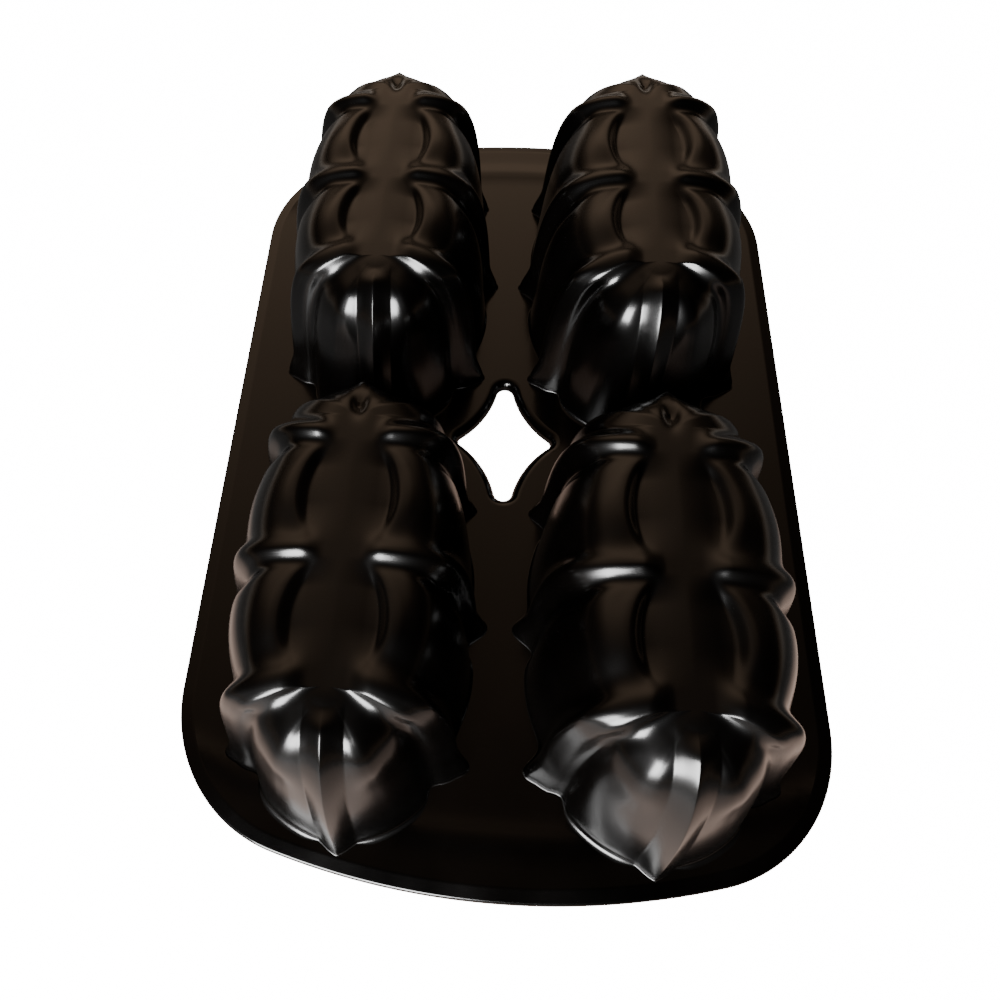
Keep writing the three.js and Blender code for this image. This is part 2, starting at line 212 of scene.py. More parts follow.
# %% Smooth body of a cavity
CUP_DRAFT, BUD_DRAFT = 0.125, 0.2
SIDE_POWER, BUD_POWER_DROP, CAP_POWER_DROP = 4.2, 0.9, 1.4
FLANK_ARCH, ARCH_SKEW = 3.0, 1.3


def smooth_point(share, rise):
    """Point of the smooth body: a drafted superellipse along the ray, from the deck (rise 0) to the spine."""
    ray = ray_at(share)
    power = SIDE_POWER - BUD_POWER_DROP * ray["front"] - CAP_POWER_DROP * ray["rear"]
    cosine, sine = np.maximum(np.cos(rise), 0), np.sin(rise)
    size = (cosine**power + sine**power) ** (-1 / power)
    draft = CUP_DRAFT + BUD_DRAFT * ray["front"]
    outward = np.maximum(size * cosine * (1 - draft) + draft * (1 - size * sine), 0)
    up = size * sine
    arch = FLANK_ARCH * (ray["bend"] - 1) * np.sin(np.pi * np.minimum(up, 1) ** ARCH_SKEW)
    y = ray["place"] + (ray["root_y"] - ray["place"]) * outward ** ray["bend"] + arch
    return np.stack([ray["root_x"] * outward, y, CUP_DEPTH * up], axis=-1), ray


# %% [markdown]
# ## The relief of the leaves
# The relief is measured square to the smooth body. Three rolled beads, each a single ridge, cross each flank
# and end in pointed spurs. Between them the side leaves swell, and a sunken, lens-shaped middle leaf lies
# along the spine. The cap carries a nub and a dimple, the bud two domed petals and a keel. It could be
# sculpted by hand, but then the four cavities, and the inner and outer skins, would not agree.

# %% Beads
BEAD_TAPERS = np.array([0.35, 0.35, -0.5])
BEAD_THINNING = np.array([0.45, 0.45, 0.6])
BEAD_REACH, BEAD_END, BEAD_WIDENING, CROWN_START, SPUR_TOP = 3.6, 12.0, 0.2, 0.84, 0.2
NOTCH_DEPTH, NOTCH_PLACE, NOTCH_REACH, NOTCH_THINNING = 1.8, 1.8, 0.8, 0.85


def bead_relief(ray, x, up):
    """Three bell-shaped ridges, each with a hollow before it, thinner on the crown and gone at the spine."""
    behind = ray["marker"][..., None] - BEAD_PLACES
    crown = smooth(up, CROWN_START, 1)[..., None]
    front_reach = BEAD_REACH * (1 - BEAD_TAPERS * crown)
    rear_reach = BEAD_REACH * (1 + BEAD_WIDENING * crown)
    crest = BEAD_RISES * (1 - BEAD_THINNING * crown) + SPUR_RISE * fade(up, 0, SPUR_TOP)[..., None]
    ridges = crest * bell(behind, np.where(behind > 0, rear_reach, front_reach))
    hollow = bell(behind + NOTCH_PLACE * front_reach, NOTCH_REACH * front_reach)
    notch = NOTCH_DEPTH * (1 - NOTCH_THINNING * crown) * hollow
    return (ridges - notch).sum(-1) * smooth(x, 0.4 * BEAD_END, BEAD_END)


# %% Side leaves and middle leaf
LOBE_RISE, LOBE_SIDE, SWELL_SKEW, SWELL_POWER = 2.7, (8, 22), 1.15, 1.3
LENS_HALF_WIDTH, LENS_SINK, LENS_WAIST, LENS_TURN, LENS_SKEW = 12.0, 1.9, 0.36, 0.86, 0.9
LENS_START, LENS_END, TENT_POWER, TENT_EDGE = (0.05, 0.3), (0.6, 0.95), 1.5, 3.5
LEAF_EDGE_RISE, LEAF_EDGE_OUT, LEAF_EDGE_REACH = 0.5, 4.4, 2.6


def tier_relief(ray, x):
    """Swelling side leaves, and a tent-shaped middle leaf that sinks to edges spaced by a sine."""
    relief = 0
    for behind, before in zip(BEAD_PLACES[:-1], BEAD_PLACES[1:]):
        down = np.clip((behind - ray["marker"]) / (behind - before), 0, 1)
        swell = np.maximum(np.sin(np.pi * down**SWELL_SKEW), 0) ** SWELL_POWER
        wave = np.sin(LENS_TURN * np.pi * down**LENS_SKEW)
        edge = LENS_HALF_WIDTH * (LENS_WAIST + (1 - LENS_WAIST) * wave)
        shown = smooth(down, *LENS_START) * fade(down, *LENS_END)
        tent = np.minimum(x / edge, 1) ** TENT_POWER * fade(x, edge, edge + TENT_EDGE)
        leaf = LEAF_EDGE_RISE * bell(x - edge - LEAF_EDGE_OUT, LEAF_EDGE_REACH) - LENS_SINK * tent
        relief = relief + LOBE_RISE * swell * smooth(x, *LOBE_SIDE) + shown * leaf
    return relief


# %% Cap
CAP_STEP, CAP_STEP_ALONG, CAP_STEP_ACROSS = 2.3, (1, 7), (4, 20)
NUB_PLACE, NUB_RISE, NUB_RADIUS, NUB_POINT = 0.868 * HALF, 3.8, 3.5, 1.4
DIMPLE_PLACE, DIMPLE_DEPTH, DIMPLE_SQUEEZE, DIMPLE_RADIUS = 0.758 * HALF, 2.4, 0.5, 0.68 * NUB_RADIUS


def cap_relief(ray, x, y):
    """A step in behind the first bead, a pointed nub, and a longish dimple before it."""
    nub = np.hypot(x, y - NUB_PLACE) / NUB_RADIUS
    dimple = np.hypot(x, DIMPLE_SQUEEZE * (y - DIMPLE_PLACE)) / DIMPLE_RADIUS
    along = ray["marker"] - BEAD_PLACES[0]
    step = CAP_STEP * smooth(along, *CAP_STEP_ALONG) * smooth(x, *CAP_STEP_ACROSS)
    return NUB_RISE * np.exp(-(nub**NUB_POINT)) - DIMPLE_DEPTH * bell(dimple, 1) - step


# %% Bud
KEEL_HALF_WIDTH, KEEL_ROUND, KEEL_START = 5.0, 0.7, (5, 12)
PETAL_RISE, PETAL_TURN, PETAL_SPREAD, PETAL_HEIGHT, PETAL_REACH = 2.6, 33, 17, 0.83, 0.16
PETAL_START, BUD_DROP, BUD_DROP_START, BUD_DROP_END = (8, 16), 0.6, (0.5, 10), (12, 25)


def bud_relief(ray, x, y, up):
    """A sunken top, a keel that falls away in straight flanks, and a dome on each side of it."""
    out = np.hypot(x, y - SPINE_FRONT)
    aside = np.hypot(x, KEEL_ROUND) - KEEL_ROUND
    keel = KEEL_RISE * np.maximum(1 - aside / KEEL_HALF_WIDTH, 0) * smooth(out, *KEEL_START)
    dome = PETAL_RISE * bell(ray["angle"] - PETAL_TURN, PETAL_SPREAD) * bell(up - PETAL_HEIGHT, PETAL_REACH)
    dome = dome * smooth(out, *PETAL_START)
    sunk = BUD_DROP * smooth(out, *BUD_DROP_START) * fade(out, *BUD_DROP_END)
    return ray["petal"] * (keel + dome - sunk)


# %% Finished surface of a cavity
PROBE, TINY, SPINE_BLEND, MIDDLE_BLEND = 1e-3, 1e-9, 0.06, 3


def cup_point(share, rise, depth):
    """Point of the finished cavity, from its middle at deck level.

    The relief, less the depth below the outer skin, is set off square to the smooth body. Square is the
    cross product of two short steps along the body. It turns upright near the spine.
    """
    point, ray = smooth_point(share, rise)
    after = smooth_point(np.minimum(share + PROBE, 1), rise)[0]
    before = smooth_point(np.maximum(share - PROBE, 0), rise)[0]
    upper = smooth_point(share, np.minimum(rise + PROBE, QUARTER))[0]
    lower = smooth_point(share, np.maximum(rise - PROBE, 0))[0]
    outward = np.cross(after - before, upper - lower)
    length = np.linalg.norm(outward, axis=-1, keepdims=True)
    upright = np.array([0.0, 0.0, 1.0])
    outward = np.where(length > TINY, outward / np.maximum(length, TINY), upright)
    near_spine = fade(QUARTER - rise, 0, SPINE_BLEND)[..., None]
    outward = outward * (1 - near_spine) + upright * near_spine
    outward[..., 0] *= smooth(point[..., 0], 0, MIDDLE_BLEND)
    outward /= np.linalg.norm(outward, axis=-1, keepdims=True)
    x, y, up = point[..., 0], point[..., 1], point[..., 2] / CUP_DEPTH
    relief = bead_relief(ray, x, up) + tier_relief(ray, x) + cap_relief(ray, x, y) + bud_relief(ray, x, y, up)
    result = point + outward * (relief - depth)[..., None]
    result[..., 0] = np.maximum(result[..., 0], 0)
    return result


# %% [markdown]
# ## Cavities
# Each cavity is one closed body: outer skin, a fillet that runs out onto the deck, a skirt through the deck,
# a rounded mouth and the inner skin. The fillet is wider round the bud, where the photograph shows a bright
# line along the root.

# %% Outer and inner skins
TIP_RAYS, SIDE_RAYS, REAR_RAYS, TIP_CROWDING = 60, 130, 40, 1.3
OUTER_LOOPS, INNER_LOOPS, ROOT_RISE = 90, 44, np.radians(1.6)


def share_list():
    """Shares of the rays: finest round the tip of the bud, even along the beads."""
    tip = FRONT_SHARE * np.linspace(0, 1, TIP_RAYS, endpoint=False) ** TIP_CROWDING
    side = np.linspace(FRONT_SHARE, REAR_SHARE, SIDE_RAYS, endpoint=False)
    rear = np.linspace(REAR_SHARE, 1, REAR_RAYS)
    return np.concatenate([tip, side, rear])


def full_loops(half):
    """Adds the mirrored left side to loops that run up the right side."""
    left = half[:, -2:0:-1] * np.array([-1.0, 1.0, 1.0])
    return np.concatenate([half, left], axis=1)


shares = share_list()
outer_rises = ROOT_RISE + (QUARTER - ROOT_RISE) * np.linspace(1, 0, OUTER_LOOPS)
inner_rises = ROOT_RISE + (QUARTER - ROOT_RISE) * np.linspace(0, 1, INNER_LOOPS)
outer_loops = full_loops(cup_point(*np.broadcast_arrays(shares[None, :], outer_rises[:, None]), 0.0))
inner_loops = full_loops(cup_point(*np.broadcast_arrays(shares[None, :], inner_rises[:, None]), WALL))
print(f"outer skin {outer_loops.shape[0]} loops, inner skin {inner_loops.shape[0]} loops")

# %% Fillet, skirt and mouth
FILLET, BUD_FILLET, FILLET_STEPS, MOUTH_RADIUS, MOUTH_STEPS = 0.8, 1.4, 9, 1.2, 7
BUD_FILLET_START = 0.1 * FRONT_SHARE, 0.3 * FRONT_SHARE
BUD_FILLET_END = 0.6 * FRONT_SHARE, 0.85 * FRONT_SHARE


def loop_outward(loop):
    """Outward direction in plan at each point of a closed loop, from its two neighbours."""
    along = np.roll(loop, -1, axis=0) - np.roll(loop, 1, axis=0)
    outward = np.stack([along[:, 1], -along[:, 0]], axis=1)
    return outward / np.linalg.norm(outward, axis=1, keepdims=True)


def foot_loops(foot, radius, turns, height):
    """Loops of a quarter-round foot: at each turn, out from the wall by r(1-cos), at a height of its own."""
    outward = loop_outward(foot[:, :2])
    rows = []
    for turn in turns:
        plan = foot[:, :2] + outward * radius * (1 - np.cos(turn))
        rows.append(np.column_stack([plan, height(turn)]))
    return np.array(rows)


ring_shares = np.concatenate([shares, shares[-2:0:-1]])
round_bud = smooth(ring_shares, *BUD_FILLET_START) * fade(ring_shares, *BUD_FILLET_END)
fillet_radius = (FILLET + BUD_FILLET * round_bud)[:, None]
root = outer_loops[-1]
fillet_turns = np.linspace(0, QUARTER, FILLET_STEPS)[1:]
fillet_loops = foot_loops(root, fillet_radius, fillet_turns, lambda turn: root[:, 2] * (1 - np.sin(turn)))
aperture = fillet_loops[-1][:, :2]
skirt = np.column_stack([aperture, np.full(len(aperture), -WALL)])[None]
mouth = inner_loops[0]
mouth_turns = np.linspace(QUARTER, 0, MOUTH_STEPS)[:-1]
mouth_loops = foot_loops(mouth, MOUTH_RADIUS, mouth_turns,
                         lambda turn: mouth[:, 2] - (mouth[:, 2] + WALL) * np.sin(turn))
cup_loops = np.concatenate([outer_loops, fillet_loops, skirt, mouth_loops, inner_loops])
print(f"a cavity has {cup_loops.shape[0]} loops of {cup_loops.shape[1]} points")

# %% Place the cavities
pieces = []
centres = {}
for node in CAVITIES:
    low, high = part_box(node)
    centre = np.array([(low[0] + high[0]) / 2, (low[1] + high[1]) / 2, deck_high[2]]) / MM
    centres[node] = centre
    cup = skin(node + "_leaf", cup_loops + centre, ring=False)
    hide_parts(node)
    pieces.append(cup)
print({node: centre.round(2).tolist() for node, centre in centres.items()})

# %% [markdown]
# ## Rim and vent collar
# Both are turned-down edges: a section with a shoulder, a leg with a flat foot and a fillet underneath, swept
# round an outline. The vent's shoulder is a plain quarter-round. The rim's is a border that slopes down to a
# tight edge, because the photograph shows an even dark band along the edge, which a round shoulder would not
# give. The outlines are made of arcs that meet in tangent, so a parallel outline only changes radii.

# %% Outline of the pan
CORNER_RADIUS, END_RADIUS, ARC_STEPS = 50.5, 260.0, 60


def arc(centre, radius, start, end, steps):
    """Points of an arc between two angles in degrees, without its last point."""
    angle = np.radians(np.linspace(start, end, steps, endpoint=False))
    return np.array(centre) + radius * np.column_stack([np.cos(angle), np.sin(angle)])


def pan_outline(inset):
    """Straight sides, bowed ends and round corners, drawn in from the outer edge."""
    corner_x = PAN_WIDTH / 2 - CORNER_RADIUS
    end_y = PAN_LENGTH / 2 - END_RADIUS
    corner_y = end_y + np.sqrt((END_RADIUS - CORNER_RADIUS) ** 2 - corner_x**2)
    split = np.degrees(np.arctan2(corner_y - end_y, corner_x))
    side_y = np.linspace(corner_y, -corner_y, ARC_STEPS, endpoint=False)
    rear = np.concatenate([
        arc((corner_x, corner_y), CORNER_RADIUS - inset, 0, split, ARC_STEPS),
        arc((0, end_y), END_RADIUS - inset, split, 180 - split, ARC_STEPS),
        arc((-corner_x, corner_y), CORNER_RADIUS - inset, 180 - split, 180, ARC_STEPS),
        np.column_stack([np.full(ARC_STEPS, inset - PAN_WIDTH / 2), side_y]),
    ])
    return np.concatenate([rear, -rear])


# %% Outline of the vent
VENT_FILLET = 0.6
VENT_ROLL = WALL + VENT_FILLET
VENT_WIDTH = (vent_high[0] - vent_low[0]) / MM - 2 * VENT_ROLL
VENT_LENGTH = (vent_high[1] - vent_low[1]) / MM - 2 * VENT_ROLL
VENT_SIDE_RADIUS, VENT_SIDE_TIP, VENT_END_TIP = 37.0, 2.0, 3.3
TIP_STEPS, HOLLOW_STEPS = 14, 40


def vent_outline(outset):
    """Four tips joined by hollow sides. A hollow's centre lies at known distances from two tips' centres."""
    tip_x, tip_y = VENT_WIDTH / 2 - VENT_SIDE_TIP, VENT_LENGTH / 2 - VENT_END_TIP
    to_side, to_end = VENT_SIDE_RADIUS + VENT_SIDE_TIP, VENT_SIDE_RADIUS + VENT_END_TIP
    apart = np.hypot(tip_x, tip_y)
    along = (to_side**2 - to_end**2 + apart**2) / (2 * apart)
    off = np.sqrt(to_side**2 - along**2)
    hollow = (tip_x + (off * tip_y - along * tip_x) / apart, (along * tip_y + off * tip_x) / apart)
    side_turn = np.degrees(np.arctan2(hollow[1], hollow[0] - tip_x))
    end_turn = np.degrees(np.arctan2(hollow[1] - tip_y, hollow[0]))
    quarter = np.concatenate([
        arc((tip_x, 0), VENT_SIDE_TIP + outset, 0, side_turn, TIP_STEPS),
        arc(hollow, VENT_SIDE_RADIUS - outset, 180 + side_turn, 180 + end_turn, HOLLOW_STEPS),
        arc((0, tip_y), VENT_END_TIP + outset, end_turn, 90, TIP_STEPS),
    ])
    top = np.array([[0, VENT_LENGTH / 2 + outset]])
    rear = np.concatenate([quarter, top, quarter[:0:-1] * [-1, 1]])
    return np.concatenate([rear, -rear])


# %% Sections
RIM_FILLET, FOOT_ROUND, SHOULDER_STEPS, FOOT_STEPS, EDGE_STEPS = 0.8, 0.5, 16, 6, 10
BORDER_WIDTH, BORDER_TILT, BORDER_BLEND, EDGE_RADIUS = 4.9, np.radians(11), 0.8, 1.0


def rolled_section(width, foot):
    """Distance from the outer face and height, round a quarter-round shoulder and a leg with a soft foot."""
    fillet = width - WALL
    turn = np.linspace(0, QUARTER, SHOULDER_STEPS)
    shoulder = np.column_stack([width * (1 - np.sin(turn)), DECK_TOP - width * (1 - np.cos(turn))])
    under = np.column_stack([width - fillet * np.sin(turn), DECK_TOP - WALL - fillet * (1 - np.cos(turn))])
    turn = np.linspace(0, QUARTER, FOOT_STEPS)
    rise, fall = FOOT_ROUND * (1 - np.cos(turn)), FOOT_ROUND * (1 - np.sin(turn))
    outer = np.column_stack([rise, foot + fall])
    inner = np.column_stack([WALL - fall, foot + rise])
    return np.concatenate([shoulder, outer, inner, under[::-1]])


def rim_section():
    """The same for the rim: a border that bends down to a slope, a tight round edge, and the same leg."""
    meet = EDGE_RADIUS * (1 - np.sin(BORDER_TILT))
    along = np.linspace(0, BORDER_WIDTH - meet, SHOULDER_STEPS)
    bent = np.where(along < BORDER_BLEND, along**2 / (2 * BORDER_BLEND), along - BORDER_BLEND / 2)
    border = np.column_stack([BORDER_WIDTH - along, DECK_TOP - np.tan(BORDER_TILT) * bent])
    turn = np.linspace(BORDER_TILT, QUARTER, EDGE_STEPS)[1:]
    drop = EDGE_RADIUS * (np.cos(BORDER_TILT) - np.cos(turn))
    edge = np.column_stack([EDGE_RADIUS * (1 - np.sin(turn)), border[-1, 1] - drop])
    leg = rolled_section(WALL + RIM_FILLET, 0.0)[SHOULDER_STEPS:]
    return np.concatenate([border, edge, leg, [[BORDER_WIDTH, DECK_TOP - WALL]]])


# %% Sweep the rim and the vent collar
def swept_ring(name, outline, section):
    """Ring of loops: for each point of the section, the outline at its distance, lifted to its height."""
    loops = []
    for distance, height in section:
        plan = outline(distance)
        loops.append(np.column_stack([plan, np.full(len(plan), height)]))
    return skin(name, np.array(loops), ring=True)


rim = swept_ring("rim_edge", pan_outline, rim_section())
collar = swept_ring("vent_edge", vent_outline, rolled_section(VENT_ROLL, vent_low[2] / MM))
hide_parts("rim")
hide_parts("vent_collar")
pieces += [rim, collar]
print(f"rim {len(rim.data.polygons)} faces, vent collar {len(collar.data.polygons)} faces")

# %% [markdown]
# ## Deck
# The deck is a height field over a plan with five holes. Points on a fine grid are tied to the outlines by a
# constrained triangulation, and triangles inside a hole are left out. Near each end the casting carries a
# low, soft ridge across the deck.

# %% Points of the deck
def inside(points, loop):
    """True where a point lies inside a loop: a ray to the right crosses the loop an odd number of times."""
    after = np.roll(loop, -1, axis=0)
    x, y = points[:, :1], points[:, 1:]
    crosses = (loop[:, 1] > y) != (after[:, 1] > y)
    rise = np.where(after[:, 1] == loop[:, 1], 1, after[:, 1] - loop[:, 1])
    reach = loop[:, 0] + (after[:, 0] - loop[:, 0]) / rise * (y - loop[:, 1])
    return (crosses & (x < reach)).sum(1) % 2 == 1


def on_deck(points, outlines):
    """True inside the first outline and outside all the others."""
    return inside(points, outlines[0]) & ~np.any([inside(points, hole) for hole in outlines[1:]], axis=0)


def clear_of(points, outlines, distance):
    """True where a point is further than the distance from every point of the outlines."""
    gaps = [np.hypot(points[:, :1] - loop[:, 0], points[:, 1:] - loop[:, 1]).min(1) for loop in outlines]
    return np.min(gaps, axis=0) > distance


# %% Plate with holes
GRID, GRID_CLEARANCE, ALL_TRIANGLES, MERGE_DISTANCE = 2.5, 0.6, 0, 1e-6


def plate(name, outlines, height):
    """Closed plate with holes: a height field, its underside a wall lower, and walls along the outlines."""
    spans = [np.arange(-size / 2, size / 2, GRID) for size in (PAN_WIDTH, PAN_LENGTH)]
    grid = np.stack(np.meshgrid(*spans), axis=-1).reshape(-1, 2)
    grid = grid[on_deck(grid, outlines) & clear_of(grid, outlines, GRID_CLEARANCE * GRID)]
    starts = np.cumsum([0] + [len(loop) for loop in outlines])
    rings = [np.arange(first, last) for first, last in zip(starts, starts[1:])]
    borders = [np.column_stack([ring, np.roll(ring, -1)]) for ring in rings]
    borders = np.concatenate([borders[0]] + [border[:, ::-1] for border in borders[1:]])
    plan = np.concatenate([*outlines, grid])
    corners = [Vector(point) for point in plan]
    _, _, faces, *_ = delaunay_2d_cdt(corners, borders.tolist(), [], ALL_TRIANGLES, MERGE_DISTANCE)
    triangles = np.array(faces)
    triangles = triangles[on_deck(plan[triangles].mean(axis=1), outlines)]
    top = np.column_stack([plan, DECK_TOP + height(plan)])
    bottom = top - np.array([0, 0, WALL])
    count = len(plan)
    walls = np.column_stack([borders[:, ::-1], borders + count])
    return build_object(name, np.concatenate([top, bottom]), [triangles, triangles[:, ::-1] + count, walls])


# %% Deck plate
RIDGE_INSET, RIDGE_HEIGHT, RIDGE_REACH = 18.0, 0.5, 3.4


def deck_height(plan):
    """Height above the deck's plane: a bell-shaped ridge across each end, at an inset from the bowed edge."""
    inset = END_RADIUS - np.hypot(plan[:, 0], np.abs(plan[:, 1]) + END_RADIUS - PAN_LENGTH / 2)
    return RIDGE_HEIGHT * bell(inset - RIDGE_INSET, RIDGE_REACH)


deck_outlines = [pan_outline(BORDER_WIDTH)]
deck_outlines += [aperture + centre[:2] for centre in centres.values()]
deck_outlines += [vent_outline(VENT_ROLL)]
deck = plate("deck_web", deck_outlines, deck_height)
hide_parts("deck_plate")
pieces.append(deck)
print(f"deck {len(deck.data.polygons)} faces")

# %% [markdown]
# ## The coat
# A non-stick coat is a thin, dark fluoropolymer film that is sprayed on and baked. It is nearly black, so
# what is seen is what it mirrors. Its refractive index is low, about 1.3, so the mirror image is dim.
# Spraying leaves a fine orange peel, and use leaves faint smudges that change the gloss from place to place.
# A flat black would show none of this.

# %% Node helpers
def node_group(name, inputs, outputs):
    """Empty shader group with named sockets, and its input and output nodes."""
    group = bpy.data.node_groups.new(name, "ShaderNodeTree")
    for label, kind, default in inputs:
        socket = group.interface.new_socket(label, in_out="INPUT", socket_type=kind)
        if default is not None:
            socket.default_value = default
    for label, kind in outputs:
        group.interface.new_socket(label, in_out="OUTPUT", socket_type=kind)
    return group, group.nodes.new("NodeGroupInput"), group.nodes.new("NodeGroupOutput")


def feed(tree, source, socket):
    """Links a socket to another one, or sets it to a number or a triple."""
    if isinstance(source, bpy.types.NodeSocket):
        tree.links.new(source, socket)
    else:
        socket.default_value = source


def add_noise(tree, vector, scale, detail):
    """Noise texture, read at a vector."""
    noise = tree.nodes.new("ShaderNodeTexNoise")
    for label, source in {"Vector": vector, "Scale": scale, "Detail": detail}.items():
        feed(tree, source, noise.inputs[label])
    return noise.outputs["Fac"]


def add_range(tree, value, low, high, new_low, new_high):
    """Maps a value from one range to another and holds it there."""
    node = tree.nodes.new("ShaderNodeMapRange")
    ends = {"Value": value, "From Min": low, "From Max": high, "To Min": new_low, "To Max": new_high}
    for label, source in ends.items():
        feed(tree, source, node.inputs[label])
    return node.outputs["Result"]


# %% Shared effects of the coat
DEEP, WARM = (0.00005, 0.00003, 0.00002, 1), (0.0002, 0.00012, 0.00008, 1)
CLOUD_SCALE, CLOUD_DETAIL, CLOUD_RANGE = 22.0, 3.0, (0.35, 0.65)
SMUDGE_SCALE, SMUDGE_DETAIL, SMUDGE_RANGE = 45.0, 4.0, (0.35, 0.7)
PEEL_SCALE, PEEL_DETAIL = 700.0, 2.0
LEAF_GLOSS, DECK_GLOSS = (0.21, 0.27), (0.13, 0.18)

tint, tint_in, tint_out = node_group(
    "coat_tint",
    [("Vector", "NodeSocketVector", None), ("Deep", "NodeSocketColor", DEEP),
     ("Warm", "NodeSocketColor", WARM)],
    [("Color", "NodeSocketColor")],
)
cloud = add_noise(tint, tint_in.outputs["Vector"], CLOUD_SCALE, CLOUD_DETAIL)
blend = tint.nodes.new("ShaderNodeMix")
blend.data_type = "RGBA"
tint.links.new(add_range(tint, cloud, *CLOUD_RANGE, 0.0, 1.0), blend.inputs["Factor"])
tint.links.new(tint_in.outputs["Deep"], blend.inputs["A"])
tint.links.new(tint_in.outputs["Warm"], blend.inputs["B"])
tint.links.new(blend.outputs["Result"], tint_out.inputs["Color"])

gloss, gloss_in, gloss_out = node_group(
    "coat_gloss",
    [("Vector", "NodeSocketVector", None), ("Polished", "NodeSocketFloat", LEAF_GLOSS[0]),
     ("Smudged", "NodeSocketFloat", LEAF_GLOSS[1])],
    [("Roughness", "NodeSocketFloat")],
)
smudge = add_noise(gloss, gloss_in.outputs["Vector"], SMUDGE_SCALE, SMUDGE_DETAIL)
rough = add_range(gloss, smudge, *SMUDGE_RANGE, gloss_in.outputs["Polished"], gloss_in.outputs["Smudged"])
gloss.links.new(rough, gloss_out.inputs["Roughness"])

peel, peel_in, peel_out = node_group(
    "coat_peel",
    [("Vector", "NodeSocketVector", None)],
    [("Height", "NodeSocketFloat")],
)
grain = add_noise(peel, peel_in.outputs["Vector"], PEEL_SCALE, PEEL_DETAIL)
peel.links.new(grain, peel_out.inputs["Height"])
print([group.name for group in (tint, gloss, peel)])

# %% Coat material
COAT_IOR, PEEL_STRENGTH, PEEL_DEPTH = 1.3, 0.12, 0.05 * MM


def coat_material(name, polished, smudged):
    """Dark glossy film: warm black, smudged gloss and a fine orange peel."""
    material = bpy.data.materials.new(name)
    material.use_nodes = True
    nodes, links = material.node_tree.nodes, material.node_tree.links
    shader = nodes["Principled BSDF"]
    place = nodes.new("ShaderNodeTexCoord").outputs["Object"]

    def use(group):
        """Node of a shared effect, read at the place on the piece."""
        node = nodes.new("ShaderNodeGroup")
        node.node_tree = group
        links.new(place, node.inputs["Vector"])
        return node

    links.new(use(tint).outputs["Color"], shader.inputs["Base Color"])
    film = use(gloss)
    film.inputs["Polished"].default_value = polished
    film.inputs["Smudged"].default_value = smudged
    links.new(film.outputs["Roughness"], shader.inputs["Roughness"])
    bump = nodes.new("ShaderNodeBump")
    bump.inputs["Strength"].default_value = PEEL_STRENGTH
    bump.inputs["Distance"].default_value = PEEL_DEPTH
    links.new(use(peel).outputs["Height"], bump.inputs["Height"])
    links.new(bump.outputs["Normal"], shader.inputs["Normal"])
    shader.inputs["IOR"].default_value = COAT_IOR
    return material


leaf_coat = coat_material("leaf_coat", *LEAF_GLOSS)
deck_coat = coat_material("deck_coat", *DECK_GLOSS)
for piece in pieces:
    piece.data.materials.append(deck_coat if piece in (deck, rim, collar) else leaf_coat)
    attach(piece, "root")
print(f"coated {len(pieces)} pieces")

# %% [markdown]
# ## Stage and light
# A black mirror shows its surroundings, so the light is built as a room for the coat to mirror. One lamp, in
# front on the left, makes the hot spots on the beads and buds. A warm sky, brightest at the rear and dim at
# the zenith and to the sides, makes the soft sheen. The photograph's background was cut out to white. So the
# camera sees the floor and the backdrop as white, while the coat mirrors a dark floor with a warm zone before
# the pan and a pale one far behind.

# %% Floor
FLOOR_HALF, FLOOR_DROP, FLOOR_TONE, FLOOR_ROUGHNESS = 3.0, 0.0002, 0.02, 0.7
floor_mesh = bpy.data.meshes.new("floor")
corners = [(x * FLOOR_HALF, y * FLOOR_HALF, 0) for x, y in ((-1, -1), (1, -1), (1, 1), (-1, 1))]
floor_mesh.from_pydata(corners, [], [(0, 1, 2, 3)])
floor = bpy.data.objects.new("floor", floor_mesh)
bpy.context.scene.collection.objects.link(floor)
floor.location.z = -FLOOR_DROP
pale = bpy.data.materials.new("pale_floor")
pale.use_nodes = True
floor_mesh.materials.append(pale)
surface = pale.node_tree.nodes["Principled BSDF"]
surface.inputs["Base Color"].default_value = (FLOOR_TONE, FLOOR_TONE, FLOOR_TONE, 1)
surface.inputs["Roughness"].default_value = FLOOR_ROUGHNESS
surface.inputs["Emission Strength"].default_value = 1.0
print(f"floor {2 * FLOOR_HALF:.0f} m wide")


# %% Maths in node trees
def add_math(tree, operation, first, second=None):
    """Math on one or two values."""
    node = tree.nodes.new("ShaderNodeMath")
    node.operation = operation
    feed(tree, first, node.inputs[0])
    if second is not None:
        feed(tree, second, node.inputs[1])
    return node.outputs["Value"]


def add_vector_math(tree, operation, first, second=None):
    """Math on vectors. Lengths and dot products come out as values, sums and scaled vectors as vectors."""
    node = tree.nodes.new("ShaderNodeVectorMath")
    node.operation = operation
    feed(tree, first, node.inputs[0])
    if second is not None:
        feed(tree, second, node.inputs["Scale" if operation == "SCALE" else 1])
    return node.outputs["Value" if operation in ("LENGTH", "DOT_PRODUCT") else "Vector"]


# %% What the coat mirrors of the floor, and what the camera sees
WHITE = 16.0
FRONT_ZONE, FRONT_ZONE_SHIFT, FRONT_EDGE, FRONT_GLOW = (0.15, 0.16), 1.2, (1.0, 1.4), (1.05, 0.72, 0.56)
FAR_EDGE, FAR_SIDE, FAR_GLOW = (0.45, 0.9), (-0.3, 0.2), (1.3, 1.15, 1.0)
tree = pale.node_tree
on_floor = tree.nodes.new("ShaderNodeTexCoord").outputs["Object"]
floor_axes = tree.nodes.new("ShaderNodeSeparateXYZ")
tree.links.new(on_floor, floor_axes.inputs["Vector"])
oval = tree.nodes.new("ShaderNodeMapping")
oval.inputs["Location"].default_value = (0.0, FRONT_ZONE_SHIFT, 0.0)
oval.inputs["Scale"].default_value = (1 / FRONT_ZONE[0], 1 / FRONT_ZONE[1], 0.0)
tree.links.new(on_floor, oval.inputs["Vector"])
